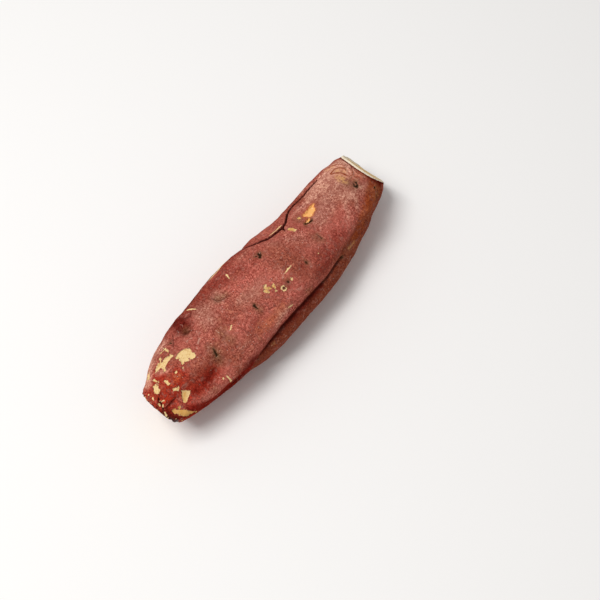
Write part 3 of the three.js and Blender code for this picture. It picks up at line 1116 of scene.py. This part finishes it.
def floor_material(paper):
    """Matt studio paper: pale and without gloss, so only the shadow shows on it. Far from the object, where
    the lamp no longer reaches, the camera sees the paper's own colour, so it runs into the background."""
    material, tree, shader, place = new_material("Matt studio paper")
    away = add_node(tree, "VectorMath", (place,), "Value", operation="LENGTH")
    far = add_node(tree, "MapRange", (away, *FLOOR_FADE), **SMOOTH)
    seen = add_node(tree, "LightPath", output="Is Camera Ray")
    plain = add_node(tree, "Math", (far, seen), operation="MULTIPLY")
    inputs = {"Vector": place, "Scale": per_metre(0.8), "Detail": 2}
    tooth = add_node(tree, "TexNoise", inputs)
    bump = add_node(tree, "Bump", {"Height": tooth, "Distance": 0.1 * MM, "Strength": 0.2})
    plug(tree, shader, {
        "Base Color": layered(tree, paper, [(BLACK, plain)]),
        "Emission Color": paper,
        "Emission Strength": plain,
        "Normal": bump,
        "Roughness": 0.9,
        "Specular IOR Level": 0.0,
    })
    return material


# ----------------------------------------
# Operators


class POTATO_OT_build_potato(bpy.types.Operator):
    """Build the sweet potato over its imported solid"""

    bl_idname = "potato.build_potato"
    bl_label = "Build Potato"

    def execute(self, context):
        shape = context.scene.potato_shape
        colours = context.scene.potato_colours
        piece = copy_of_node("sweet_potato", "baked_sweet_potato")
        piece.data.materials.clear()
        piece.data.materials.append(skin_material(colours))
        piece.data.materials.append(flesh_material(colours))
        add_cut_material(piece)
        subdivide(piece, shape.levels)
        surface = Surface(piece.data)
        marks = [CRACK, *CRACK_BRANCHES, *FOLDS, *ARCS, *PEELED, *TORN, *SCRATCHES, *EYES]
        refine(piece, surface.inside(*marks) > -FINE_REACH)
        surface = Surface(piece.data)
        refine(piece, surface.inside(CRACK, *TORN) > -FINE_REACH)
        surface = Surface(piece.data)
        keep_marks(piece.data, surface)
        move_along_normals(piece.data, surface, press_marks(surface, shape))
        only(piece)
        bpy.ops.object.shade_smooth()
        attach(piece, "root")
        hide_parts("sweet_potato")
        return {"FINISHED"}


class POTATO_OT_build_stage(bpy.types.Operator):
    """Build the floor, the lights and the camera"""

    bl_idname = "potato.build_stage"
    bl_label = "Build Stage"

    def execute(self, context):
        stage = context.scene.potato_stage
        low, high = CAD_BOX
        middle = (low + high) / 2
        self.add_floor(stage)
        self.add_lights(context, stage, middle)
        self.add_camera(context, stage, middle)
        return {"FINISHED"}

    def add_floor(self, stage):
        bpy.ops.mesh.primitive_plane_add(size=stage.floor_size, location=(0, 0, -stage.floor_gap))
        floor = bpy.context.object
        floor.name = "floor"
        floor.data.materials.append(floor_material(stage.floor))

    def add_lights(self, context, stage, middle):
        away = Vector(stage.key_place)
        bpy.ops.object.light_add(
            type="AREA", location=middle + away, rotation=away.to_track_quat("Z", "Y").to_euler()
        )
        key = bpy.context.object
        key.data.size = stage.key_size
        key.data.energy = stage.key_power

        world = bpy.data.worlds.new("Pale studio")
        context.scene.world = world
        world.use_nodes = True
        tree = world.node_tree
        tree.nodes.clear()
        seen = add_node(tree, "LightPath", output="Is Camera Ray")
        level = add_node(tree, "MapRange", (seen, 0, 1, stage.ambient, 1))
        hue = layered(tree, WHITE, [(stage.floor, seen)])
        sky = add_node(tree, "Background", {"Color": hue, "Strength": level})
        add_node(tree, "OutputWorld", {"Surface": sky})

    def add_camera(self, context, stage, middle):
        flat = cos(stage.elevation)
        back = Vector((sin(stage.azimuth) * flat, -cos(stage.azimuth) * flat, sin(stage.elevation)))
        right = Vector((cos(stage.azimuth), sin(stage.azimuth), 0))
        up = back.cross(right)
        aim = middle + right * stage.framing[0] - up * stage.framing[1]
        bpy.ops.object.camera_add(
            location=aim + back * stage.distance, rotation=back.to_track_quat("Z", "Y").to_euler()
        )
        camera = bpy.context.object
        camera.data.lens = stage.lens
        context.scene.camera = camera
        context.scene.view_settings.view_transform = "Standard"


class POTATO_PT_panel(bpy.types.Panel):
    """The potato's pieces, sizes and colours"""

    bl_label = "Sweet Potato"
    bl_idname = "POTATO_PT_panel"
    bl_space_type = "VIEW_3D"
    bl_region_type = "UI"
    bl_category = "Sweet Potato"

    def draw(self, context):
        for operator, settings in (
            (POTATO_OT_build_potato, context.scene.potato_shape),
            (None, context.scene.potato_colours),
            (POTATO_OT_build_stage, context.scene.potato_stage),
        ):
            box = self.layout.box()
            if operator:
                box.operator(operator.bl_idname)
            for name in settings.__annotations__:
                box.prop(settings, name)


CLASSES = (
    PotatoShape,
    PotatoColours,
    PotatoStage,
    POTATO_OT_build_potato,
    POTATO_OT_build_stage,
    POTATO_PT_panel,
)


def register():
    for cls in CLASSES:
        bpy.utils.register_class(cls)
    bpy.types.Scene.potato_shape = PointerProperty(type=PotatoShape)
    bpy.types.Scene.potato_colours = PointerProperty(type=PotatoColours)
    bpy.types.Scene.potato_stage = PointerProperty(type=PotatoStage)


def unregister():
    del bpy.types.Scene.potato_stage
    del bpy.types.Scene.potato_colours
    del bpy.types.Scene.potato_shape
    for cls in reversed(CLASSES):
        bpy.utils.unregister_class(cls)


def main():
    register()
    bpy.ops.potato.build_stage()
    bpy.ops.potato.build_potato()


if __name__ == "__main__":
    main()
